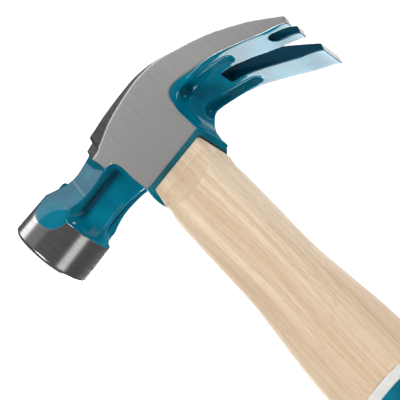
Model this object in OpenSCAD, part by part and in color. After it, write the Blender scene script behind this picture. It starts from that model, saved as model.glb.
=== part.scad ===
// Claw hammer with a forged steel head and a wedged hickory handle.
// It lies on its side: +X runs along the handle from the butt to the crown,
// +Y points to the striking face and +Z to the upper side of the head.
// The origin is at the middle of the bottom of the bounding box. The design
// itself is drawn from the middle of the eye, at the head's lower edge.

/* [Overall] */
// Length from the butt of the handle to the crown of the head
total_len = 330; // [300:1:360]

/* [Striking end] */
// Diameter of the striking face
face_d = 31; // [29:0.5:32]
// Distance from the middle of the eye to the rim of the striking face
face_reach = 59.0; // [56:0.5:62]
// Length of the ground cylinder behind the face
poll_len = 16.7; // [14:0.1:18]
// Height of the poll's axis above the lower edge of the head
poll_height = 27.3; // [26.5:0.1:28]
// Chamfer round the striking face
face_chamfer = 1.2; // [0.5:0.1:2]

/* [Block and eye] */
// Width of the head across its two ground cheeks
block_w = 25.8; // [25:0.1:27]
// Height of the head from its lower edge to the crown
crown_h = 40; // [39.5:0.1:41]
// Length of the eye along the head
eye_len = 24.2; // [22:0.1:24.6]
// Width of the eye across the head
eye_w = 19.2; // [18:0.1:20]
// Radius of the eye's corners
eye_r = 5; // [3:0.5:7]

/* [Claw] */
// Distance from the middle of the eye to the claw's tips
claw_reach = 63.2; // [60:0.1:65]
// Width of the claw across its tips
tip_w = 37.8; // [34:0.1:40]
// Width of the nail slot where it starts
slot_root_w = 7.6; // [6:0.1:8]
// Width of the nail slot between the tips
slot_tip_w = 11.2; // [9:0.1:12]
// Distance from the middle of the eye to the start of the nail slot
slot_start = 32; // [31:0.5:36]
// Width of the small slot in the upper prong
small_slot_w = 5.2; // [4.4:0.1:5.6]
// Distance from the middle of the eye to the small slot's round end
small_slot_start = 51.5; // [49:0.5:54]

/* [Nail starter] */
// Diameter of the magnet
magnet_d = 5; // [4:0.5:6]
// Thickness of the magnet
magnet_t = 2.5; // [2:0.5:3]

/* [Handle] */
// Distance from the head to the white band on the grip
band_start = 124.5; // [115:0.5:135]
// Width of the white band
band_w = 4.2; // [3:0.1:8]
// Thickness of the band and of the grip's coat
coat_t = 0.8; // [0.5:0.1:1.2]
// Angle at which the handle leans toward the face
lean = 1.4; // [0:0.1:2]

/* [Hidden] */

$fn = 96;
far = 100;
lacquer = [0.02, 0.42, 0.55];
steel = [0.60, 0.60, 0.60];
hickory = [0.87, 0.78, 0.64];
wedge_wood = [0.70, 0.52, 0.36];
white = [0.95, 0.95, 0.94];

face_r = face_d / 2;
face_dome = 0.5;
poll_top = poll_height + face_r;
cheek = block_w / 2;
handle_len = total_len - crown_h;
eye_middle = 0.6;
rear_wall = -13.4;
front_wall = 13.4;
poll_back = face_reach - poll_len;

// The crown turns down in a tight arc, and the claw goes on in a long flat one.
crown_back = -4;
crown_r = 36;
crown_turn = 38;
claw_start = [crown_h - crown_r * (1 - cos(crown_turn)), crown_back - crown_r * sin(crown_turn)];
tip_top = [-3.1, 0.8 - claw_reach];
tip_end = [-5.2, -claw_reach];
tip_under = [-5.2, 1.2 - claw_reach];
claw_under = [16.5, -33.5];
root_r = 6;
root_centre = [15.5, rear_wall - root_r];

// Nail starter: a raised seat for the magnet, and a groove for the nail.
seat_y = [34.8, 43];
seat_top = crown_h - 0.6;
seat_w = 12;
groove_w = 4.4;
magnet_y = 38.5;
groove_floor = seat_top - 0.8;

// Wedges in the top of the handle.
tenon_top = crown_h - 0.4;
wood_wedge_depth = 28;
steel_wedge_depth = 16;
steel_wedge_w = 13;
steel_wedge_y = [6.5, -5];

// Handle stations: distance below the head, half depth (y), half thickness (z).
stations = [[0, 13.9, 10.2], [15, 14.0, 11.2], [35, 14.0, 11.7], [60, 14.3, 11.9],
            [80, 15.8, 12.3], [100, 17.3, 12.9], [125, 17.9, 13.2], [170, 16.8, 12.8],
            [215, 16.4, 12.6], [260, 17.4, 13.2], [278, 18.0, 13.6]];
butt_round = 12;
sides = 40;
squareness = 2.5;

// Points from a to b on a curve that bulges to the left by h.
function bulge(a, b, h, n) =
    let (d = b - a, left = [-d[1], d[0]] / norm(d))
    [for (i = [0 : n]) let (t = i / n) a + d * t + left * (4 * h * t * (1 - t))];

function arc(c, r, a0, a1, n) =
    [for (i = [0 : n]) let (a = a0 + (a1 - a0) * i / n) c + r * [cos(a), sin(a)]];

// Moves the design from the eye to the origin of the part.
module place() {
    translate([(handle_len - poll_top) / 2, (claw_reach - face_reach - face_dome) / 2, tip_w / 2])
        children();
}

// Extrudes an outline drawn in (y, z) along +X.
module along_x(from, to) {
    translate([from, 0, 0])
        rotate([90, 0, 90])
            linear_extrude(height = to - from)
                children();
}

// Extrudes an outline drawn in (x, z) along +Y.
module along_y(from, to) {
    translate([0, to, 0])
        rotate([90, 0, 0])
            linear_extrude(height = to - from)
                children();
}

// Extrudes an outline drawn in (x, y) along +Z, half to each side.
module along_z(width) {
    translate([0, 0, -width / 2])
        linear_extrude(height = width)
            children();
}

module both_sides() {
    children();
    mirror([0, 0, 1])
        children();
}

module rounded_rect(l, w, r) {
    square([l - 2 * r, w], center = true);
    square([l, w - 2 * r], center = true);
    for (sx = [-1, 1], sy = [-1, 1])
        translate([sx * (l / 2 - r), sy * (w / 2 - r)])
            circle(r = r);
}

// Side outline of the cheeks and the claw.
module side_outline() {
    polygon(concat(
        [[0, front_wall], [8, 14.6], [15, 14.9], [18.4, 15.6], [20.8, 17.6], [22.2, 20.3],
         [36, 20.3], [36.3, 16.6], [crown_h, 16.1]],
        arc([crown_h - crown_r, crown_back], crown_r, 0, -crown_turn, 10),
        bulge(claw_start, tip_top, 1.6, 10),
        [tip_end],
        bulge(tip_under, claw_under, -0.5, 4),
        bulge([root_centre[0] + root_r, root_centre[1] - 1], root_centre + [root_r, 0], 0, 1),
        arc(root_centre, root_r, 10, 90, 6),
        [[0, rear_wall]]
    ));
}

// Plan outline of the head: flat cheeks and a flared claw.
module plan_outline() {
    flare_start = -22;
    polygon([[22, -cheek], [22, cheek], [flare_start, cheek], [-claw_reach, tip_w / 2],
             [-claw_reach, -tip_w / 2], [flare_start, -cheek]]);
}

// Ground bevel between a cheek and the crown, which fades out toward the claw.
module crown_bevel() {
    translate([30.5, 20, cheek])
        rotate([0, 0, 9])
            rotate([0, 22, 0])
                translate([-4, -52, 0])
                    cube([20, 60, 10]);
}

module claw_and_cheeks() {
    difference() {
        intersection() {
            along_z(tip_w)
                side_outline();
            along_x(-far, far)
                plan_outline();
        }
        both_sides()
            crown_bevel();
    }
}

// Walls of the eye, bowed out at the front and the back.
module eye_walls() {
    half = cheek - 1.2;
    along_x(0, 30)
        polygon(concat(
            bulge([front_wall + 0.6, -half], [front_wall + 0.6, half], -2.3, 8),
            bulge([rear_wall + 0.2, half], [rear_wall + 0.2, -half], -1.7, 8)
        ));
}

// Slice of the neck: its top, and its half widths at the top and the ridges.
module neck_slice(y, top, top_half, ridge_half) {
    along_y(y, y + 0.1)
        polygon([[top, top_half], [22.2, ridge_half], [20.9, ridge_half - 0.4],
                 [20.9, 0.4 - ridge_half], [22.2, -ridge_half], [top, -top_half]]);
}

// Slice of the keel that runs under the neck.
module keel_slice(y, keel) {
    along_y(y, y + 0.1)
        polygon([[21.2, 6.8], [keel, 0.7], [keel, -0.7], [21.2, -6.8], [30, 0]]);
}

module neck() {
    hull() {
        neck_slice(13, 36.2, 8.4, 12.6);
        neck_slice(21, 35.4, 7.8, 12.0);
    }
    hull() {
        neck_slice(21, 35.4, 7.8, 12.0);
        neck_slice(31, 34.6, 7.2, 11.4);
    }
    hull() {
        neck_slice(31, 34.6, 7.2, 11.4);
        neck_slice(poll_back, 38.4, 9.0, 12.6);
    }
    hull() {
        keel_slice(13, 11.5);
        keel_slice(24, 14);
    }
    hull() {
        keel_slice(24, 14);
        keel_slice(poll_back, 13.5);
    }
}

// Flat that cuts the corner of the poll and runs into the neck.
module poll_flat() {
    translate([poll_height, 49.2, 0])
        rotate([0, 15, 0])
            translate([0, 0, face_r])
                rotate([15.5, 0, 0])
                    translate([-30, -40, 0])
                        cube([60, 40, 20]);
}

module poll() {
    shoulder = 4.5;
    difference() {
        translate([poll_height, 0, 0])
            rotate([-90, 0, 0])
                rotate_extrude()
                    polygon(concat(
                        [[0, poll_back - 12], [10.2, poll_back - 12]],
                        arc([face_r, poll_back - 1 - shoulder], shoulder, 180, 100, 5),
                        [[face_r, poll_back], [face_r, face_reach - face_chamfer]],
                        [[face_r - face_chamfer, face_reach]],
                        bulge([face_r - face_chamfer, face_reach], [0, face_reach + face_dome],
                              -0.2, 5)
                    ));
        both_sides()
            poll_flat();
    }
}

module starter_seat() {
    along_x(28, seat_top)
        translate([(seat_y[0] + seat_y[1]) / 2, 0])
            rounded_rect(seat_y[1] - seat_y[0], seat_w, 1.5);
}

// Groove that a nail lies in, from the front of the crown to the face.
module nail_groove() {
    along_y(20, 80)
        polygon([[groove_floor, -groove_w / 4], [groove_floor + 1, -groove_w / 2],
                 [far, -groove_w / 2], [far, groove_w / 2],
                 [groove_floor + 1, groove_w / 2], [groove_floor, groove_w / 4]]);
}

module eye(clearance) {
    translate([eye_middle, 0])
        rounded_rect(eye_len - 2 * clearance, eye_w - 2 * clearance, eye_r - clearance);
}

module nail_slot() {
    start_r = 2;
    half = slot_root_w / 2;
    along_x(-20, far)
        union() {
            polygon([[-slot_start - start_r, -half], [-slot_start - start_r, half],
                     [-claw_reach - 1, slot_tip_w / 2], [-claw_reach - 1, -slot_tip_w / 2]]);
            translate([-slot_start - start_r, 0])
                rounded_rect(2 * start_r, slot_root_w, start_r - 0.01);
        }
}

module small_slot() {
    middle = (slot_tip_w + tip_w) / 4;
    r = small_slot_w / 2;
    along_x(-20, 20)
        translate([-small_slot_start - r, middle - 0.6])
            rotate(-4) {
                circle(r = r);
                translate([-14, -r])
                    square([14, 2 * r]);
            }
}

// Hollow beside the central rib, under the root of the claw.
module root_hollow() {
    r = 3.9;
    translate([20.3, rear_wall - r - 1.4, 8.9])
        rotate([0, 0, 14]) {
            sphere(r = r);
            rotate([90, 0, 0])
                cylinder(r = r, h = 11);
            translate([0, -11, 0])
                sphere(r = r);
        }
}

module magnet(clearance) {
    translate([groove_floor - magnet_t - clearance, magnet_y, 0])
        rotate([0, 90, 0])
            cylinder(d = magnet_d + 2 * clearance, h = magnet_t + clearance);
}

module hammer_head() {
    color(lacquer)
        place()
            difference() {
                union() {
                    claw_and_cheeks();
                    eye_walls();
                    neck();
                    poll();
                    starter_seat();
                }
                along_x(-1, crown_h + 1)
                    eye(0);
                nail_slot();
                small_slot();
                both_sides()
                    root_hollow();
                nail_groove();
                magnet(0.05);
            }
}

module nail_magnet() {
    color(steel)
        place()
            magnet(0);
}

// Size of the handle at a distance s below the head, by a smooth curve
// through the stations. The butt is rounded off by a quarter of an ellipse.
function slope(i, k) =
    let (a = max(i - 1, 0), b = min(i + 1, len(stations) - 1))
    (stations[b][k] - stations[a][k]) / (stations[b][0] - stations[a][0]);

function station_before(s) =
    max([for (i = [0 : len(stations) - 2]) stations[i][0] <= s ? i : 0]);

function along(s, k) =
    let (i = station_before(s), j = i + 1, gap = stations[j][0] - stations[i][0],
         t = min((s - stations[i][0]) / gap, 1), u = 1 - t)
    u * u * (1 + 2 * t) * stations[i][k] + t * t * (3 - 2 * t) * stations[j][k]
    + gap * t * u * (u * slope(i, k) - t * slope(j, k));

function rounding(s) =
    let (t = max(0, (s - (handle_len - butt_round)) / butt_round))
    t <= 0 ? 1 : 0.55 + 0.45 * sqrt(max(0, 1 - t * t));

function power(v, p) = sign(v) * pow(abs(v), p);

// One ring of the handle, drawn inset below its finished surface.
function ring(s, inset) =
    let (half_y = along(s, 1) * rounding(s) - inset, half_z = along(s, 2) * rounding(s) - inset)
    [for (i = [0 : sides - 1])
        let (a = 360 * i / sides)
        [-s, 1.8 + s * tan(lean) + half_y * power(cos(a), 2 / squareness),
         half_z * power(sin(a), 2 / squareness)]];

function spaced(a, b, step) =
    let (n = max(1, round((b - a) / step)))
    [for (i = [0 : n]) a + (b - a) * i / n];

// Closed solid through a list of rings, given as [distance, inset] pairs.
module loft(rings) {
    n = len(rings);
    points = [for (r = rings) each ring(r[0], r[1])];
    walls = [for (j = [0 : n - 2], i = [0 : sides - 1])
        let (a = j * sides + i, b = j * sides + (i + 1) % sides)
        each [[a, b, b + sides], [a, b + sides, a + sides]]];
    polyhedron(
        points = points,
        faces = concat([[for (i = [sides - 1 : -1 : 0]) i]], walls,
                       [[for (i = [0 : sides - 1]) (n - 1) * sides + i]])
    );
}

body_end = handle_len - butt_round;
coat_start = band_start + band_w;
butt_steps = [for (i = [1 : 6]) body_end + butt_round * sin(15 * i)];

module core() {
    loft(concat(
        [for (s = spaced(0, band_start, 7)) [s, 0]],
        [for (s = spaced(band_start, body_end, 9)) [s + 0.001, coat_t]],
        [for (s = butt_steps) [s - coat_t, coat_t]]
    ));
}

module wood_wedge_shape() {
    along_y(eye_middle - eye_len / 2 + 0.6, eye_middle + eye_len / 2 - 0.6)
        polygon([[tenon_top, 1.9], [tenon_top - wood_wedge_depth, 0.4],
                 [tenon_top - wood_wedge_depth, -0.4], [tenon_top, -1.9]]);
}

module steel_wedge_shape(y) {
    translate([0, y, 0])
        along_z(steel_wedge_w)
            polygon([[tenon_top, 1.3], [tenon_top - steel_wedge_depth, 0.2],
                     [tenon_top - steel_wedge_depth, -0.2], [tenon_top, -1.3]]);
}

module handle() {
    flat_z = 9.75;
    flat_r = 9;
    color(hickory)
        place()
            difference() {
                union() {
                    core();
                    along_x(-1, tenon_top)
                        eye(0.05);
                }
                both_sides()
                    translate([-6, -2.5, flat_z]) {
                        cylinder(r = flat_r, h = 10);
                        translate([0, -flat_r, 0])
                            cube([6, 2 * flat_r, 10]);
                    }
                wood_wedge_shape();
                steel_wedge_shape(steel_wedge_y[0]);
                steel_wedge_shape(steel_wedge_y[1]);
            }
}

module wood_wedge() {
    color(wedge_wood)
        place()
            difference() {
                wood_wedge_shape();
                steel_wedge_shape(steel_wedge_y[0]);
                steel_wedge_shape(steel_wedge_y[1]);
            }
}

module steel_wedge_front() {
    color(steel)
        place()
            steel_wedge_shape(steel_wedge_y[0]);
}

module steel_wedge_rear() {
    color(steel)
        place()
            steel_wedge_shape(steel_wedge_y[1]);
}

module grip_band() {
    color(white)
        place()
            difference() {
                loft([[band_start, 0], [coat_start, 0]]);
                core();
            }
}

module grip_coat() {
    color(lacquer)
        place()
            difference() {
                loft(concat(
                    [for (s = spaced(coat_start, body_end, 9)) [s, 0]],
                    [for (s = butt_steps) [s, 0]]
                ));
                core();
            }
}

hammer_head();
nail_magnet();
handle();
wood_wedge();
steel_wedge_front();
steel_wedge_rear();
grip_band();
grip_coat();
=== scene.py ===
import math

import bpy
import numpy as np
from mathutils import Matrix, Vector


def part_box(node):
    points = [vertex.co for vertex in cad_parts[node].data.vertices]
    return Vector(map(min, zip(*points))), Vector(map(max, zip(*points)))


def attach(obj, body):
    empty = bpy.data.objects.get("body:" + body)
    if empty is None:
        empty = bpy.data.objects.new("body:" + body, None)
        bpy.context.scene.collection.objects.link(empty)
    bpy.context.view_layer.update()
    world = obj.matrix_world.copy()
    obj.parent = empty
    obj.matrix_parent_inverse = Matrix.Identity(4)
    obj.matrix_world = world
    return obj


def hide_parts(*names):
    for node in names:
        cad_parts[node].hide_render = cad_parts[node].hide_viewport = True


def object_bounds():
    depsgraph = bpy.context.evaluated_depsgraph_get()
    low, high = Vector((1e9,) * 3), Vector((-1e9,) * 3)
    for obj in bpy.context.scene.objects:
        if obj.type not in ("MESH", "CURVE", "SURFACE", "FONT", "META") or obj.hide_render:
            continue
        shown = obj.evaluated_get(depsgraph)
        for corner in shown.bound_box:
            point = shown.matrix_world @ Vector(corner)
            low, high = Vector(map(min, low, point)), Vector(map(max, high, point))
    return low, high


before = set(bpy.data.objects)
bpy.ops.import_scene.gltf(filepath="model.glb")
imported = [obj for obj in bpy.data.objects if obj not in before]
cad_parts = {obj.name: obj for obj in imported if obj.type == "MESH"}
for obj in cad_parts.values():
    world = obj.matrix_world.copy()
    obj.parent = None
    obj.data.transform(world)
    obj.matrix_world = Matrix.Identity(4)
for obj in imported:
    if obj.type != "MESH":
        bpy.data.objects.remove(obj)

for leftover in ("Cube", "Light", "Camera"):
    if leftover in bpy.data.objects:
        bpy.data.objects.remove(bpy.data.objects[leftover])
cad_low, cad_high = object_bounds()

# The head is worked out in millimetres from the middle of the eye at the head's
# lower edge: h goes up to the crown, a along the head to the striking face and
# w sideways to the upper cheek. The row's X, Y and Z run the same ways.
MM = 0.001
POLL_AXIS = 27.3
POLL_R = 15.5
FACE_RIM = 59.0
FACE_DOME = 0.5
CLAW_REACH = 63.2
CROWN = 40.0
CHEEK = 12.9
TIP_HALF = 18.9
TENON_TOP = 39.6

head_low, head_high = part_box("hammer_head")
EYE = Vector((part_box("wood_wedge")[1].x - TENON_TOP * MM,
              head_low.y + CLAW_REACH * MM,
              (head_low.z + head_high.z) / 2))


def to_row(points):
    """Points (h, a, w) in millimetres as points of the row frame in metres."""
    return np.asarray(points, float) * MM + np.array(EYE)


# ---------------------------------------------------------------- shape tools

def smooth_min(p, q, blend):
    """The smaller of two distances, with a rounded change of width blend."""
    t = np.clip(0.5 + 0.5 * (q - p) / blend, 0, 1)
    return q + (p - q) * t - blend * t * (1 - t)


def smooth_max(p, q, blend):
    return -smooth_min(-p, -q, blend)


def spline(points, per_span=12):
    """Dense points on a smooth curve through the given ones."""
    points = np.asarray(points, float)
    ends = np.vstack([2 * points[0] - points[1], points, 2 * points[-1] - points[-2]])
    t = np.linspace(0, 1, per_span, endpoint=False)[:, None]
    curve = []
    for p0, p1, p2, p3 in zip(ends, ends[1:], ends[2:], ends[3:]):
        curve.append(p1 + 0.5 * t * (p2 - p0 + t * (2 * p0 - 5 * p1 + 4 * p2 - p3
                                                     + t * (3 * (p1 - p2) + p3 - p0))))
    return np.vstack(curve + [points[-1:]])


def smooth_step(x, start, end):
    t = np.clip((x - start) / (end - start), 0, 1)
    return t * t * (3 - 2 * t)


def along(stations):
    """A smooth function through stations (position, value)."""
    curve = spline(stations, 24)
    return lambda x: np.interp(x, curve[:, 0], curve[:, 1])


def outline_distance(outline, u, v):
    """Distance from (u, v) to a closed outline, negative inside."""
    nearest = np.full(np.broadcast(u, v).shape, 1e9)
    inside = np.zeros(nearest.shape, bool)
    for (u0, v0), (u1, v1) in zip(outline, np.roll(outline, -1, axis=0)):
        du, dv = u1 - u0, v1 - v0
        t = np.clip(((u - u0) * du + (v - v0) * dv) / (du * du + dv * dv + 1e-12), 0, 1)
        nearest = np.minimum(nearest, (u - u0 - t * du) ** 2 + (v - v0 - t * dv) ** 2)
        slope = du / dv if abs(dv) > 1e-9 else 0.0
        inside ^= ((v0 > v) != (v1 > v)) & (u < u0 + (v - v0) * slope)
    return np.where(inside, -1, 1) * np.sqrt(nearest)


class Profile:
    """Signed distance to a flat outline, read from a fine table."""
    STEP = 0.2

    def __init__(self, outline, low, high):
        self.low = np.array(low, float)
        self.size = np.ceil((np.array(high) - self.low) / self.STEP).astype(int) + 1
        u = self.low[0] + self.STEP * np.arange(self.size[0])[:, None]
        v = self.low[1] + self.STEP * np.arange(self.size[1])[None, :]
        self.table = outline_distance(np.asarray(outline, float), u, v)

    def __call__(self, u, v):
        s = np.clip((u - self.low[0]) / self.STEP, 0, self.size[0] - 1.001)
        t = np.clip((v - self.low[1]) / self.STEP, 0, self.size[1] - 1.001)
        i = s.astype(int)
        j = t.astype(int)
        s = s - i
        t = t - j
        table = self.table
        return ((table[i, j] * (1 - s) + table[i + 1, j] * s) * (1 - t)
                + (table[i, j + 1] * (1 - s) + table[i + 1, j + 1] * s) * t)


def rounded_box(u, v, half_u, half_v, r):
    du = np.abs(u) - half_u + r
    dv = np.abs(v) - half_v + r
    outside = np.hypot(np.maximum(du, 0), np.maximum(dv, 0))
    return outside + np.minimum(np.maximum(du, dv), 0) - r


def tapered_rod(h, a, w, start, end, r_start, r_end):
    """Distance to a rod with round ends from start to end, each (h, a, w)."""
    axis = np.subtract(end, start)
    t = ((h - start[0]) * axis[0] + (a - start[1]) * axis[1]
         + (w - start[2]) * axis[2]) / axis.dot(axis)
    t = np.clip(t, 0, 1)
    gap = np.sqrt((h - start[0] - t * axis[0]) ** 2 + (a - start[1] - t * axis[1]) ** 2
                  + (w - start[2] - t * axis[2]) ** 2)
    return gap - (r_start + (r_end - r_start) * t)


# ------------------------------------------------------------ shape of the head

TABLE_LOW = (-12.0, -70.0)    # range of (h, a) that the tables of outlines cover
TABLE_HIGH = (50.0, 66.0)
NO_CUT = -50.0                # value of a cut in the places that it does not reach

FRONT_WALL = 13.7             # walls of the block round the eye
REAR_WALL = -13.4
WALL_TOP = 26
WASTE = 0.8                   # how far the rough forging stands out before grinding
LIP_DRAFT = 0.25              # how fast the root of the claw draws in to its lip
FLAT_UNDERSIDE = -25          # ahead of this the head ends at its lower edge, h = 0

FLARE_START = -22             # where the sides of the claw begin to spread
FLARE_LENGTH = 40.5
FLARE_SOFT = 5.0
FLARE_AHEAD = 40              # the cheeks have their own width this far ahead of it
BEVEL_SLOPE = math.tan(math.radians(20))
BEVEL_COS = 0.94
BLOCK_END = 21.5              # the ground cheeks lie behind this, the neck ahead of it

FACET_TILT = math.radians(17)
SCALLOP_TILT = math.radians(-9)
LEDGE = 21.4                  # height of the undercut on each side of the neck
LEDGE_HALF = 7.4
KEEL_SPREAD = 0.95
KEEL_COS = 0.72
KEEL_EDGE = 0.7
KEEL_TOP = 30
NECK_ENDS = (6, 50)

SEAT_MIDDLE = 38.9            # the raised seat of the nail magnet
SEAT_HALF = (4.1, 6.0)
SEAT_ROUND = 1.5
SEAT_BOTTOM = 28
SEAT_TOP = 39.4

HOLLOW_FROM = (18.3, -19.4, 8.0)      # the hollow under each flank of the claw
HOLLOW_TO = (10.7, -37.0, 9.5)
HOLLOW_R = (3.1, 3.0)
CORNER_COS = 0.70711                  # the worn lower rear corner of the far side
CORNER_REACH = 14.6
CORNER_RISE = 0.55
CORNER_END = 13.5

BARREL_START = 30             # the round striking end
BARREL_TAPER = 0.035
DOME_R = 205.0
RIM_CHAMFER = 1.2
RIM_COS = 0.707
TIP_NORMAL = (-0.3, -0.954)   # the plane that cuts the tips of the claw
TIP_REACH = 61.1

EYE_MIDDLE = 0.35
EYE_HALF = (12.35, 9.6)
EYE_ROUND = 1.2
SLOT_ROOT = 32.3              # the nail slot between the claw's two arms
SLOT_WIDENS = (32, 34, CLAW_REACH)
SLOT_HALF = (3.8, 3.8, 5.6)
SMALL_START = 53.4            # the small slot in the upper arm
SMALL_MIDDLE = 12.2
SMALL_LEAN = 0.06
SMALL_HALF = (13, 2.6)
SMALL_ROUND = 2.5
GROOVE_START = 20             # the nail groove along the top of the poll
GROOVE_HALF = 2.2
GROOVE_FLOOR = 38.6

# Outlines of the head from the side, as (h, a).
# Crown and outer curve of the claw, from the front of the crown to the tips.
crown_line = [(CROWN, 16.1), (39.7, 6), (39.3, -4), (38.4, -12), (35.5, -20), (31.2, -26.8),
              (22.4, -39.1), (10.7, -51.5), (-3.0, -62.5), (-10.7, -67.9)]
# Underside of the claw's flanks, from the tips to the rear wall.
under_line = [(-12, -65.9), (-5.2, -60.6), (0.6, -52.9), (6.4, -45.9), (12.3, -38.2),
              (15.9, -32.6), (18.9, -26.4), (21.0, -22.2), (21.8, -18.9), (21.2, -16.4),
              (19.4, -14.9), (16, -14.0), (12, -13.4), (6, -13.4)]
# The same along the middle, where the root of the claw is lower than its flanks.
root_line = [(-12, -65.9), (-5.2, -60.6), (0.6, -52.9), (6.4, -45.9), (12.0, -38.4),
             (14.8, -32.6), (17.0, -26), (18.3, -20.9), (18.2, -19.4), (16.4, -16.8),
             (13.6, -14.7), (10, -13.7), (6, -13.5)]
# Front edge of the cheeks from below, and the step up from there to the crown.
front_line = [(7.9, 14.7), (14.6, 14.8), (18.4, 15.4), (21, 16.8), (22.3, 19.2)]

front_step = [(29, 20.6), (35.7, 20.2), (36.4, 16.7), (44, 16.1)]
above_claw = [(44, -30), (20, -66)]

ground_crown = Profile(np.vstack([spline(crown_line), [(-11, 64), (CROWN, 64)]]),
                       TABLE_LOW, TABLE_HIGH)
block_profile = Profile(np.vstack([[(0, 13.6)], spline(front_line), front_step, above_claw,
                                   spline(under_line), [(0, REAR_WALL)]]), TABLE_LOW, TABLE_HIGH)
root_profile = Profile(np.vstack([[(0, 0), (44, 0)], above_claw, spline(root_line),
                                  [(0, REAR_WALL)]]), TABLE_LOW, TABLE_HIGH)
# The poll and its shoulder, as (distance from the poll's axis, a).
poll_profile = Profile([(-40, 36), (8, 36), (11.8, 39.4), (13.0, 40.8), (13.7, 42.0),
                        (14.9, 42.5), (16.5, 44.5), (17, 70), (-40, 70)], (-2, 20), (30, 70))

# How far the walls of the block bow out, by height.
bow_front = along([(-8, 2.4), (0, 2.4), (8, 2.0), (16, 1.2), (24, 0.6), (60, 0.6)])
bow_rear = along([(-8, 1.5), (0, 1.5), (3, 1.3), (8, 0.5), (14, 0.3), (24, 0.3), (60, 0.3)])

# Sizes that change along the head, by a.
facet_reach = along([(0, 11.4), (13, 11.2), (20, 10.3), (25, 9.5), (30, 9.2), (35, 10.2),
                     (39, 11.8), (43, 13.4), (49.2, 15.15), (58, 17.6), (66, 20)])
neck_top = along([(0, 33.4), (14, 34.4), (18, 35.4), (21, 36.0), (25, 35.9), (29, 35.5),
                  (33, 35.6), (38, 37.0), (43, 38.6), (46, 42), (60, 44)])
keel_bottom = along([(0, 11.0), (14, 11.4), (19, 12.6), (25, 13.8), (32, 14.1), (38, 13.7),
                     (46, 13.4), (60, 13.4)])
scallop_reach = along([(0, 20), (34, 16), (40, 14.4), (43, 14.0), (46, 14.35), (49.5, 15.2),
                       (56, 17), (66, 20)])
bevel_width = along([(-70, -12), (-40, -3.4), (-26, -0.4), (-18.8, 0.8), (-2.5, 3.6),
                     (6.9, 5.9), (15, 9.5), (22, 11), (66, 11)])


def half_width(a):
    """Half the width across the ground cheeks and the flared sides of the claw."""
    flare = (TIP_HALF - CHEEK) / FLARE_LENGTH
    depth = FLARE_START - a
    spread = flare * 0.5 * (depth + np.sqrt(depth * depth + FLARE_SOFT * FLARE_SOFT))
    return CHEEK + spread - flare * FLARE_SOFT * FLARE_SOFT / (4 * FLARE_AHEAD)


def flanks(h, a, w):
    """Distance to the ground cheeks and flared sides, and to the bevel by the crown."""
    flank = np.abs(w) - half_width(a)
    bevel = (flank + BEVEL_SLOPE * (bevel_width(a) + ground_crown(h, a))) * BEVEL_COS
    return flank, bevel


def block_metal(h, a, w):
    """The block round the eye, and the claw."""
    side = np.abs(w)
    flank, bevel = flanks(h, a, w)
    width = smooth_max(flank, bevel, 0.5) - WASTE
    body = smooth_max(block_profile(h, a), width, 0.8)

    across = np.clip(side / CHEEK, 0, 1.2) ** 2
    front_wall = a - FRONT_WALL - bow_front(h) * (1 - across)
    rear_wall = REAR_WALL - a - bow_rear(h) * (1 - across)
    walls = smooth_max(np.maximum(front_wall, rear_wall), width, 1.5)
    walls = smooth_max(walls, h - WALL_TOP, 2.0)
    body = smooth_min(body, walls, 1.2)

    # Below the ground flanks the root of the claw draws in to a rounded lip.
    lip = side - half_width(a) + LIP_DRAFT * block_profile(h, a)
    root = smooth_max(root_profile(h, a), lip, 1.6)
    return smooth_min(body, root, 0.8)


def neck_metal(h, a, w):
    """The neck with its keel, and the poll, cut by the facets and scallops."""
    side = np.abs(w)
    up = h - POLL_AXIS
    cap = smooth_max(h - neck_top(a), LEDGE - h, 0.8)
    keel = (side - (h - keel_bottom(a)) * KEEL_SPREAD) * KEEL_COS
    keel = smooth_max(keel, keel_bottom(a) + KEEL_EDGE - h, 1.5)
    keel = smooth_max(keel, h - KEEL_TOP, 1.0)
    neck = np.maximum(smooth_min(cap, keel, 0.5), np.maximum(NECK_ENDS[0] - a, a - NECK_ENDS[1]))
    poll = np.maximum(poll_profile(np.hypot(up, w), a), a - TABLE_HIGH[1])

    facet = side * math.cos(FACET_TILT) + up * math.sin(FACET_TILT) - facet_reach(a)
    scallop = side * math.cos(SCALLOP_TILT) + up * math.sin(SCALLOP_TILT) - scallop_reach(a)
    return smooth_max(smooth_min(neck, poll, 2.4), smooth_max(facet, scallop, 2.0), 0.8)


def forged(h, a, w):
    """The forging under its lacquer."""
    metal = smooth_min(neck_metal(h, a, w), block_metal(h, a, w), 1.8)

    seat = rounded_box(a - SEAT_MIDDLE, w, *SEAT_HALF, SEAT_ROUND)
    seat = smooth_max(seat, np.maximum(h - SEAT_TOP, SEAT_BOTTOM - h), 0.6)
    metal = smooth_min(metal, seat, 1.0)

    hollow = tapered_rod(h, a, np.abs(w), HOLLOW_FROM, HOLLOW_TO, *HOLLOW_R)
    metal = smooth_max(metal, -hollow, 0.9)

    corner = CORNER_COS * (-a - w) - CORNER_REACH - CORNER_RISE * np.maximum(h, 0)
    corner = corner - 2 * np.maximum(-a - CORNER_END, 0)
    metal = smooth_max(metal, corner, 3.0)

    return smooth_max(metal, np.where(a > FLAT_UNDERSIDE, -h, NO_CUT), 0.6)


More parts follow.
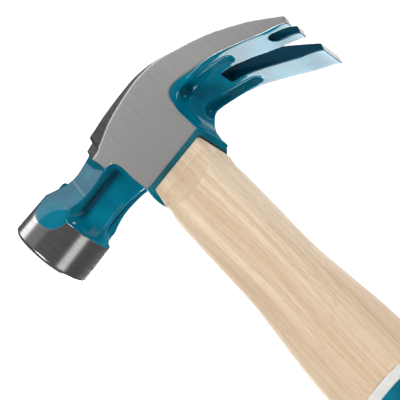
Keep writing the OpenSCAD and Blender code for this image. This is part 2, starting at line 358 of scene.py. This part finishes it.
def ground(h, a, w):
    """The envelope that grinding leaves: cheeks, crown, claw and striking end."""
    flank, bevel = flanks(h, a, w)
    block = smooth_max(smooth_max(flank, ground_crown(h, a), 0.35), bevel, 0.25)
    block = np.where(a > BLOCK_END, NO_CUT, block)

    reach = np.hypot(h - POLL_AXIS, w)
    barrel = reach - POLL_R + BARREL_TAPER * (FACE_RIM - a)
    barrel = np.where(a > BARREL_START, barrel, NO_CUT)
    face = np.sqrt(reach ** 2 + (a - FACE_RIM - FACE_DOME + DOME_R) ** 2) - DOME_R
    rim = (reach - POLL_R + a - FACE_RIM + RIM_CHAMFER) * RIM_COS
    end = smooth_max(smooth_max(barrel, rim, 0.2), face, 0.2)

    tips = TIP_NORMAL[0] * h + TIP_NORMAL[1] * a - TIP_REACH
    return smooth_max(np.maximum(block, end), tips, 0.2)


def openings(h, a, w):
    """Negative inside the eye and the nail slots."""
    eye = rounded_box(a - EYE_MIDDLE, w, *EYE_HALF, EYE_ROUND)
    slot_half = np.interp(-a, SLOT_WIDENS, SLOT_HALF)
    slot = smooth_max(np.abs(w) - slot_half, a + SLOT_ROOT, 1.2)
    small = rounded_box(a + SMALL_START + SMALL_HALF[0],
                        w - SMALL_MIDDLE + SMALL_LEAN * (a + 53), *SMALL_HALF, SMALL_ROUND)
    return np.minimum(np.minimum(eye, slot), small)


def groove(h, w):
    """Negative inside the nail groove."""
    return np.hypot(w, np.minimum(h - GROOVE_FLOOR - GROOVE_HALF, 0)) - GROOVE_HALF


def head_distance(h, a, w):
    metal = smooth_max(forged(h, a, w), ground(h, a, w), 0.35)
    metal = smooth_max(metal, -openings(h, a, w), 0.5)
    return smooth_max(metal, np.where(a > GROOVE_START, -groove(h, w), NO_CUT), 0.5)


# ------------------------------------------------------------- surface of a field

def gradient(field, points, step=0.12):
    """Slope of the field at each point."""
    columns = []
    for axis in range(3):
        shift = np.zeros(3)
        shift[axis] = step
        ahead = field(*(points + shift).T)
        behind = field(*(points - shift).T)
        columns.append((ahead - behind) / (2 * step))
    return np.stack(columns, axis=1)


def net(field, low, high, step):
    """A point for each grid cell on the surface, and quads between neighbours."""
    axes = [np.arange(start, end + step, step) for start, end in zip(low, high)]
    grid = np.meshgrid(*axes, indexing="ij", sparse=True)
    inside = np.broadcast_to(field(*grid), [len(x) for x in axes]) < 0
    count = sum(inside[i:inside.shape[0] - 1 + i, j:inside.shape[1] - 1 + j,
                       k:inside.shape[2] - 1 + k].astype(np.int8)
                for i in (0, 1) for j in (0, 1) for k in (0, 1))
    cells = np.argwhere((count > 0) & (count < 8))
    index = np.full(count.shape, -1)
    index[tuple(cells.T)] = np.arange(len(cells))
    points = np.array(low) + (cells + 0.5) * step

    quads = []
    for axis in range(3):
        one, two = [x for x in range(3) if x != axis]
        first = inside.take(range(inside.shape[axis] - 1), axis)
        second = inside.take(range(1, inside.shape[axis]), axis)
        for crossing, turned in ((first & ~second, False), (~first & second, True)):
            at = np.argwhere(crossing)
            ring_of_cells = []
            for du, dv in ((1, 1), (0, 1), (0, 0), (1, 0)):
                cell = at.copy()
                cell[:, one] -= du
                cell[:, two] -= dv
                ring_of_cells.append(index[tuple(cell.T)])
            quad = np.stack(ring_of_cells, axis=1)
            flip = turned != (axis == 1)
            quads.append(quad[:, ::-1] if flip else quad)
    quads = np.vstack(quads)
    return points, quads[(quads >= 0).all(axis=1)]


def relaxed(points, quads, share):
    """The points, moved by a share of the way to the average of their neighbours."""
    total = np.zeros_like(points)
    degree = np.zeros(len(points))
    for i in range(4):
        np.add.at(total, quads[:, i], points[quads[:, (i + 1) % 4]])
        np.add.at(degree, quads[:, i], 1)
    average = total / degree[:, None]
    return points + share * (average - points)


def on_surface(field, points):
    """The points, moved down the field's slope on to its zero surface."""
    for _ in range(3):
        slope = gradient(field, points)
        length = np.maximum((slope ** 2).sum(axis=1), 0.25)
        points = points - slope * (field(*points.T) / length)[:, None]
    return points


def surface(field, low, high, step):
    """Points, quads and normals of the zero surface of a signed distance."""
    points, quads = net(field, low, high, step)
    points = on_surface(field, points)
    for _ in range(2):
        points = on_surface(field, relaxed(points, quads, 0.6))
    slope = gradient(field, points)
    return points, quads, slope / np.linalg.norm(slope, axis=1)[:, None]


def mesh_object(name, points, faces, normals=None):
    mesh = bpy.data.meshes.new(name)
    mesh.from_pydata(points.tolist(), [], [list(f) for f in faces])
    mesh.polygons.foreach_set("use_smooth", [True] * len(mesh.polygons))
    if normals is not None:
        mesh.normals_split_custom_set_from_vertices(normals.tolist())
    mesh.update()
    piece = bpy.data.objects.new(name, mesh)
    bpy.context.scene.collection.objects.link(piece)
    return piece


def add_attribute(piece, name, values):
    attribute = piece.data.attributes.new(name, "FLOAT", "POINT")
    attribute.data.foreach_set("value", np.asarray(values, np.float32))


# ------------------------------------------------------------------- materials

class Nodes:
    """A material's node tree, with short ways to add nodes."""

    def __init__(self, name):
        self.material = bpy.data.materials.new(name)
        self.material.use_nodes = True
        self.tree = self.material.node_tree
        self.shader = self.tree.nodes["Principled BSDF"]

    def add(self, kind, inputs=(), **settings):
        node = self.tree.nodes.new(kind)
        for key, value in settings.items():
            setattr(node, key, value)
        for key, value in dict(inputs).items():
            self.set(node, key, value)
        return node

    def set(self, node, key, value):
        if isinstance(value, bpy.types.NodeSocket):
            self.tree.links.new(value, node.inputs[key])
        else:
            node.inputs[key].default_value = value

    def look(self, inputs):
        """Set inputs of the shader itself."""
        for key, value in inputs.items():
            self.set(self.shader, key, value)

    def bump(self, height, strength, distance):
        node = self.add("ShaderNodeBump", {"Height": height, "Strength": strength,
                                           "Distance": distance})
        self.set(self.shader, "Normal", node.outputs[0])

    def math(self, operation, *values):
        inputs = dict(enumerate(values))
        return self.add("ShaderNodeMath", inputs, operation=operation).outputs[0]

    def ramp(self, value, start, end, low=0.0, high=1.0):
        """A smooth step of the value, from low at start to high at end."""
        node = self.add("ShaderNodeMapRange",
                        {"Value": value, "From Min": start, "From Max": end,
                         "To Min": low, "To Max": high}, interpolation_type="SMOOTHSTEP")
        return node.outputs["Result"]

    def mix(self, factor, first, second):
        node = self.add("ShaderNodeMix", data_type="RGBA")
        self.set(node, 0, factor)
        self.set(node, 6, first)
        self.set(node, 7, second)
        return node.outputs[2]

    def attribute(self, name):
        return self.add("ShaderNodeAttribute", attribute_name=name).outputs["Fac"]

    def place(self):
        return self.add("ShaderNodeTexCoord").outputs["Object"]

    def stretched(self, scale):
        inputs = {"Vector": self.place(), "Scale": scale}
        return self.add("ShaderNodeMapping", inputs).outputs[0]

    def noise(self, vector, scale, detail=2.0, roughness=0.5):
        node = self.add("ShaderNodeTexNoise", {"Vector": vector, "Scale": scale,
                                               "Detail": detail, "Roughness": roughness})
        return node.outputs["Fac"]


def darker(colour, share):
    return tuple(share * c for c in colour[:3]) + (1,)


def rgb(red, green, blue):
    """A screen colour, from 0 to 255, as the linear colour that shaders use."""
    return tuple(((c / 255 + 0.055) / 1.055) ** 2.4 if c > 10 else c / 3295
                 for c in (red, green, blue)) + (1.0,)


LACQUER = rgb(0, 115, 140)
LACQUER_DEEP = rgb(0, 96, 119)
# Painted shade colour for the lacquer in the nail slots and the undercuts beside the neck.
LACQUER_PAINTED_SHADE = rgb(0, 52, 72)
WOOD = rgb(233, 213, 186)
WOOD_DARK = rgb(204, 175, 143)
WEDGE_WOOD = rgb(178, 138, 98)
WEDGE_WOOD_DARK = rgb(140, 100, 66)
WEDGE_IRON = rgb(150, 148, 146)
PLATING = rgb(200, 200, 202)
STEEL_DARK = rgb(178, 177, 176)
STEEL = rgb(191, 190, 189)
# Painted shade: the same ground steel made much darker on the bevel by the crown, in place of
# the dark that the bevel reflects.
PAINTED_BEVEL_SHADE_DARK = rgb(62, 62, 63)
PAINTED_BEVEL_SHADE = rgb(96, 96, 97)
WHITE = rgb(226, 227, 222)
WHITE_DULL = rgb(216, 217, 212)


def lacquer_coat(n):
    """Base colour and ripple of the glossy lacquer."""
    place = n.place()
    tone = n.ramp(n.noise(place, 90, 1.0), 0.35, 0.65)
    ripple = n.noise(place, 260, 1.0)
    return n.mix(tone, LACQUER_DEEP, LACQUER), ripple


def head_material():
    """Lacquer, with bare steel wherever the attribute "ground" is above nought."""
    n = Nodes("head_steel_and_lacquer")
    bare = n.ramp(n.attribute("ground"), -0.03, 0.03)
    paint, ripple = lacquer_coat(n)
    # Painted shade: darker lacquer in the nail slots and the undercuts beside the neck.
    paint = n.mix(n.attribute("painted_shade"), paint, LACQUER_PAINTED_SHADE)

    # Grinding lines run with the handle on the cheeks and round the striking end.
    flat_lines = n.noise(n.stretched((55, 3400, 1200)), 1.0, 2.0, 0.6)
    round_lines = n.noise(n.stretched((60, 4200, 60)), 1.0, 2.0, 0.6)
    barrel = n.ramp(n.attribute("barrel"), 0.4, 0.6)
    lines = n.add("ShaderNodeMix", {0: barrel, 2: flat_lines, 3: round_lines},
                  data_type="FLOAT").outputs[0]
    shade = n.ramp(lines, 0.3, 0.7)
    steel = n.mix(shade, STEEL_DARK, STEEL)
    # Painted shade on the bevel by the crown: the ground steel is painted much darker there.
    dark = n.ramp(n.attribute("bevel"), -0.1, 0.1)
    steel = n.mix(dark, steel, n.mix(shade, PAINTED_BEVEL_SHADE_DARK, PAINTED_BEVEL_SHADE))

    n.look({"Base Color": n.mix(bare, paint, steel),
            "Metallic": bare,
            "Roughness": n.math("SUBTRACT", 0.33, n.math("MULTIPLY", barrel, 0.11)),
            "Specular IOR Level": 0.0,
            "Coat Weight": n.ramp(bare, 0, 1, 0.5, 0.0),
            "Coat Roughness": 0.02})
    height = n.add("ShaderNodeMix", {0: bare, 2: ripple, 3: lines}, data_type="FLOAT").outputs[0]
    n.bump(height, 0.2, 0.00004)
    return n.material


def coat_material():
    n = Nodes("grip_lacquer")
    paint, ripple = lacquer_coat(n)
    n.look({"Base Color": paint, "Roughness": 0.3, "Specular IOR Level": 0.0,
            "Coat Weight": 0.5, "Coat Roughness": 0.04})
    n.bump(ripple, 0.4, 0.00006)
    return n.material


def band_material():
    n = Nodes("band_white")
    cloud = n.ramp(n.noise(n.place(), 300, 2.0), 0.3, 0.7)
    n.look({"Base Color": n.mix(cloud, WHITE_DULL, WHITE),
            "Roughness": n.ramp(cloud, 0, 1, 0.30, 0.38),
            "Coat Weight": 0.6, "Coat Roughness": 0.05})
    return n.material


def hickory_material(name, light, dark):
    """Pale ring-grown wood: wide soft rings, fine fibres and short dark pores.

    It darkens with the attribute "reach", the distance below the head in
    millimetres, as painted shade for the light that falls off down the handle,
    and where "sawn" is near nought, the edge of the flat sides.
    The wedge has neither, so it is darkened evenly."""
    n = Nodes(name)
    sway = n.noise(n.stretched((7, 40, 40)), 1.0, 2.0)
    place = n.place()
    sideways = n.add("ShaderNodeCombineXYZ", {"Y": n.math("MULTIPLY", sway, 0.012)}).outputs[0]
    shifted = n.add("ShaderNodeVectorMath", {0: place, 1: sideways}, operation="ADD").outputs[0]
    across = n.add("ShaderNodeMapping", {"Vector": shifted, "Scale": (5, 620, 240)}).outputs[0]
    rings = n.noise(across, 1.0, 3.0, 0.55)
    fibre = n.noise(n.stretched((60, 1800, 1800)), 1.0, 3.0, 0.6)
    pores = n.noise(n.stretched((260, 3600, 3600)), 1.0, 1.0, 0.4)
    tone = n.math("ADD", n.math("MULTIPLY", n.ramp(rings, 0.38, 0.66), 0.65),
                  n.math("MULTIPLY", n.ramp(fibre, 0.35, 0.7), 0.35))
    wood = n.mix(tone, light, dark)
    # Painted shade: the wood gets darker further down the handle, where less light falls.
    wood = n.mix(n.ramp(n.attribute("reach"), 20, 125, 0.0, 0.45), wood, dark)
    wood = n.mix(n.ramp(n.attribute("sawn"), 0.12, 0.04, 0.0, 0.5), wood, dark)
    dash = n.ramp(pores, 0.62, 0.72)
    speckled = n.mix(n.math("MULTIPLY", dash, 0.35), wood, darker(dark, 0.45))
    n.look({"Base Color": speckled,
            "Roughness": n.ramp(fibre, 0.3, 0.7, 0.42, 0.56),
            "Specular IOR Level": 0.4, "Sheen Weight": 0.2, "Sheen Roughness": 0.5})
    n.bump(n.math("SUBTRACT", fibre, dash), 0.4, 0.00005)
    return n.material


def iron_material(name, tint):
    """Plain steel with a fine grain."""
    n = Nodes(name)
    grain = n.noise(n.place(), 900, 3.0)
    n.look({"Base Color": n.mix(grain, darker(tint, 0.7), tint),
            "Metallic": 1.0,
            "Roughness": n.ramp(grain, 0.3, 0.7, 0.35, 0.5)})
    n.bump(grain, 0.3, 0.00005)
    return n.material


# ------------------------------------------------------------- shape of the handle

# Distance below the head, half depth (along a) and half thickness (along w).
STATIONS = [(0, 12.2, 11.2), (6, 13.2, 11.6), (15, 14.1, 11.9), (35, 14.2, 12.1),
            (60, 14.3, 11.9), (80, 15.8, 12.3), (100, 17.3, 12.9), (125, 17.9, 13.2),
            (170, 16.8, 12.8), (215, 16.4, 12.6), (260, 17.4, 13.2), (278, 18.0, 13.6)]
# Power of the rounded outline across the handle: 2 would be an ellipse.
SQUARENESS = along([(0, 8), (5, 4.5), (10, 3.2), (18, 2.6), (30, 2.5), (300, 2.5)])
LEAN = math.tan(math.radians(1.4))
LEAN_START = 1.8      # where the middle of the handle starts, along a
LEAN_TUCK = 1.1       # and how far it is drawn back just below the head
TUCK_END = 12
BUTT = 290.0          # distance from the head to the end of the handle
BUTT_ROUND = 12.0
BUTT_LOST = 0.45      # share of the handle's width that is gone at its very end
BAND_START = 124.5
COAT_START = 128.7
COAT = 0.8            # thickness of the lacquer and of the band
AROUND = 160          # points round each ring of the coat and the band
FLAT_HALF = 9.6
FLAT_RISE = 0.06
FLAT_END = 9
TENON_MIDDLE = 0.6
TENON_HALF = (12.05, 9.55)
TENON_ROUND = 1.2
TENON_GAP = 0.15
TENON_ROOT = -4
half_depth = along([(s, d) for s, d, t in STATIONS] + [(300, 18)])
half_thick = along([(s, t) for s, d, t in STATIONS] + [(300, 13.6)])


def middle(s):
    """Where the middle of the handle lies along a, at a distance below the head."""
    return LEAN_START + s * LEAN - LEAN_TUCK * (1 - smooth_step(s, 0, TUCK_END))


def butt_rounding(s):
    """How much of its width the handle keeps near its end."""
    t = np.clip((s - BUTT + BUTT_ROUND) / BUTT_ROUND, 0, 1)
    return 1 - BUTT_LOST + BUTT_LOST * np.sqrt(1 - t * t)


def flat_side(s, w):
    """Distance to the flat that runs out of each side below the head."""
    return np.abs(w) - FLAT_HALF - FLAT_RISE * np.maximum(s - FLAT_END, 0) ** 2


def handle_distance(h, a, w):
    """The wooden handle inside its coat, with the tenon that fills the eye."""
    s = -h
    inset = np.where(s > BAND_START, COAT, 0.0)
    rounding = butt_rounding(s + inset)
    depth = half_depth(s) * rounding - inset
    thick = half_thick(s) * rounding - inset
    u = np.abs(a - middle(s)) / depth
    v = np.abs(w) / thick
    power = SQUARENESS(s)
    shaft = ((u ** power + v ** power + 1e-9) ** (1 / power) - 1) * thick
    shaft = smooth_max(np.maximum(shaft, s - BUTT + COAT), -s, 0.8)
    shaft = smooth_max(shaft, flat_side(s, w), 0.15)
    tenon = rounded_box(a - TENON_MIDDLE, w, *TENON_HALF, TENON_ROUND)
    tenon = np.maximum(tenon, np.maximum(h - TENON_TOP + TENON_GAP, TENON_ROOT - h))
    return smooth_min(shaft, tenon, 0.6)


def ring(s, inset, count):
    """One ring of the handle's finished surface, drawn inset below it."""
    turn = np.linspace(0, 2 * np.pi, count, endpoint=False)
    c, v = np.cos(turn), np.sin(turn)
    depth = half_depth(s) * butt_rounding(s) - inset
    thick = half_thick(s) * butt_rounding(s) - inset
    power = 2 / SQUARENESS(s)
    return np.stack([np.full(count, -s), middle(s) + depth * np.sign(c) * np.abs(c) ** power,
                     thick * np.sign(v) * np.abs(v) ** power], axis=1)


def loft(rings):
    """Quads that join rings in turn, and the last ring to the first."""
    count = len(rings[0])
    total = len(rings)
    i = np.arange(count)
    faces = []
    for j in range(total):
        here = j * count
        there = (j + 1) % total * count
        faces.append(np.stack([here + i, here + (i + 1) % count,
                               there + (i + 1) % count, there + i], axis=1))
    return np.vstack(rings), np.vstack(faces)


# ----------------------------------------------------------------------- pieces

def finish_piece(piece, material, node):
    piece.data.materials.append(material)
    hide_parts(node)
    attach(piece, "root")


def make_head():
    points, quads, normals = surface(head_distance, (-8, -64.5, -19.5), (43.5, 60.5, 19.5),
                                     HEAD_STEP)
    piece = mesh_object("forged_head", to_row(points), quads, normals)
    h, a, w = points.T
    opening = openings(h, a, w)

    # Above nought where grinding cut into the forging, and so through the lacquer.
    margin = ground(h, a, w) - forged(h, a, w)
    add_attribute(piece, "ground", np.where(opening < 0.3, -1.0, margin))

    # The lacquer is painted darker in the nail slots and in the undercuts beside the neck:
    # painted shade.
    off_the_neck = 50 * (np.abs(a - 30) > 13)
    undercut = np.hypot(h - LEDGE, np.abs(w) - LEDGE_HALF) + off_the_neck
    painted_shade = np.where(a < -30, smooth_step(opening, 0.4, 0.2), smooth_step(undercut, 3.0, 0.5))
    add_attribute(piece, "painted_shade", painted_shade)

    add_attribute(piece, "barrel", smooth_step(a, BARREL_START, 36))
    # The attribute "bevel" marks where the bevel's painted shade goes.
    flank, bevel = flanks(h, a, w)
    strip = bevel - np.maximum(flank, ground_crown(h, a))
    add_attribute(piece, "bevel", np.where(a > BLOCK_END, -1.0, strip))
    finish_piece(piece, head_material(), "hammer_head")


def make_handle():
    points, quads, normals = surface(handle_distance, (-BUTT - 1, -18, -15),
                                     (TENON_TOP + 1, 29, 15), WOOD_STEP)
    piece = mesh_object("hickory_handle", to_row(points), quads, normals)
    h, a, w = points.T
    add_attribute(piece, "sawn", np.where(h < -0.2, np.abs(flat_side(-h, w)), 1.0))
    # The distance below the head, which drives the wood's painted shade.
    add_attribute(piece, "reach", -h)
    finish_piece(piece, hickory_material("hickory", WOOD, WOOD_DARK), "handle")


def make_coat():
    shoulder = [(0, COAT), (0.01, 0.25), (0.15, 0.08), (0.4, 0.0)]
    rings = [ring(COAT_START + s, inset, AROUND) for s, inset in shoulder]
    rings += [ring(s, 0.0, AROUND) for s in np.arange(COAT_START + 2, BUTT - BUTT_ROUND, 2.0)]
    rings += [ring(BUTT - BUTT_ROUND * (1 - math.sin(t)), 0.0, AROUND)
              for t in np.radians(np.linspace(0, 90, 13))]
    end = rings[-1]
    centre = end.mean(axis=0)
    rings += [centre + (end - centre) * share for share in (0.97, 0.8, 0.5, 0.2, 0.01)]
    points, faces = loft(rings)

    # A lid closes the last ring, which is not joined back to the first.
    lid = list(range(len(points) - AROUND, len(points)))
    faces = [list(f) for f in faces[:-AROUND]] + [lid]
    piece = mesh_object("grip_lacquer_coat", to_row(points), faces)
    finish_piece(piece, coat_material(), "grip_coat")


def make_band():
    outline = [(BAND_START, COAT), (BAND_START, 0.25), (BAND_START + 0.15, 0.06),
               (BAND_START + 0.4, 0.0), (COAT_START - 0.4, 0.0), (COAT_START - 0.15, 0.06),
               (COAT_START, 0.25), (COAT_START, COAT)]
    points, faces = loft([ring(s, inset, AROUND) for s, inset in outline])
    piece = mesh_object("grip_white_band", to_row(points), faces)
    finish_piece(piece, band_material(), "grip_band")


HEAD_STEP = 0.45
WOOD_STEP = 0.8
make_head()
make_handle()
make_coat()
make_band()
repaint = {"wood_wedge": hickory_material("wedge_hardwood", WEDGE_WOOD, WEDGE_WOOD_DARK),
           "steel_wedge_front": iron_material("wedge_iron", WEDGE_IRON),
           "steel_wedge_rear": iron_material("wedge_iron", WEDGE_IRON),
           "nail_magnet": iron_material("magnet_plating", PLATING)}
for node, material in repaint.items():
    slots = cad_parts[node].data.materials
    slots.clear()
    slots.append(material)

# ------------------------------------------------------------- camera and light

camera_data = bpy.data.cameras.new("camera")
camera_data.sensor_width = 36
camera_data.lens = 207
camera_data.clip_end = 20
camera = bpy.data.objects.new("camera", camera_data)
# The columns are the camera's right, up and back, then its place, measured from EYE.
camera.matrix_world = Matrix((
    (-0.54998, 0.54831, -0.62999, EYE.x - 0.51456),
    (-0.62478, -0.77068, -0.12532, EYE.y - 0.09487),
    (-0.55423, 0.32468, 0.76643, EYE.z + 0.61308),
    (0, 0, 0, 1)))
bpy.context.scene.collection.objects.link(camera)
bpy.context.scene.camera = camera


def softbox(name, towards, distance, size, power):
    """A square area light on the given side of the head."""
    data = bpy.data.lights.new(name, "AREA")
    data.size = size
    data.energy = power
    light = bpy.data.objects.new(name, data)
    direction = Vector(towards).normalized()
    light.location = EYE + direction * distance
    light.rotation_mode = "QUATERNION"
    light.rotation_quaternion = direction.to_track_quat("Z", "Y")
    light.visible_camera = False
    bpy.context.scene.collection.objects.link(light)


softbox("handle_side", (-1.0, 0.12, 0.10), 1.0, 0.42, 0.6)
softbox("crown_side", (0.93, 0.22, 0.42), 1.0, 0.5, 1.5)
softbox("crown_side_rear", (0.93, -0.22, 0.42), 1.0, 0.5, 1.5)
softbox("over_head", (0.50, 0.12, 0.86), 1.2, 0.9, 0.5)
softbox("under", (0.12, 0.62, -0.77), 0.5, 0.35, 3.4)
softbox("backdrop", (0.63, 0.25, -0.74), 0.6, 0.25, 0.4)
softbox("below_tips", (0.35, -0.6, -0.72), 0.5, 0.2, 0.2)
softbox("face_side", (-0.2, 0.8, 0.7), 1.1, 0.5, 8)
softbox("claw_side", (-0.2, -0.75, 0.75), 1.1, 0.5, 8)

paint = Nodes("floor_paint")
cloud = paint.noise(paint.place(), 2.0)
pale = paint.mix(cloud, (0.88, 0.88, 0.88, 1), (0.92, 0.92, 0.92, 1))
paint.look({"Base Color": pale, "Roughness": 0.9,
            "Emission Color": (1, 1, 1, 1), "Emission Strength": 0.9})

# The floor lies well below the hammer, so that lights fit beneath it.
floor_half = 14.0
floor_z = cad_low.z - 0.9
corners = np.array([(-1, -1), (1, -1), (1, 1), (-1, 1)]) * floor_half
floor = mesh_object("floor", np.insert(corners, 2, floor_z, axis=1), [(0, 1, 2, 3)])

# A pale round wall far behind everything, which only the camera sees.
wall_r = 10.0
wall_sides = 36
turn = np.radians(np.arange(0, 360, 360 // wall_sides))
wall_ring = wall_r * np.stack([np.cos(turn), np.sin(turn)], axis=1)
wall_points = np.vstack([np.insert(wall_ring, 2, z, axis=1)
                         for z in (floor_z, floor_z + wall_r)])
wall_faces = [(i, (i + 1) % wall_sides, wall_sides + (i + 1) % wall_sides, wall_sides + i)
              for i in range(wall_sides)]
wall = mesh_object("wall", wall_points, wall_faces)
wall.visible_diffuse = False
wall.visible_shadow = False
for piece in (floor, wall):
    piece.data.materials.append(paint.material)
    piece.visible_glossy = False

world = bpy.data.worlds.new("studio")
world.use_nodes = True
world.node_tree.nodes["Background"].inputs["Color"].default_value = (1, 1, 1, 1)
world.node_tree.nodes["Background"].inputs["Strength"].default_value = 0.12
bpy.context.scene.world = world
bpy.context.scene.view_settings.view_transform = "Standard"
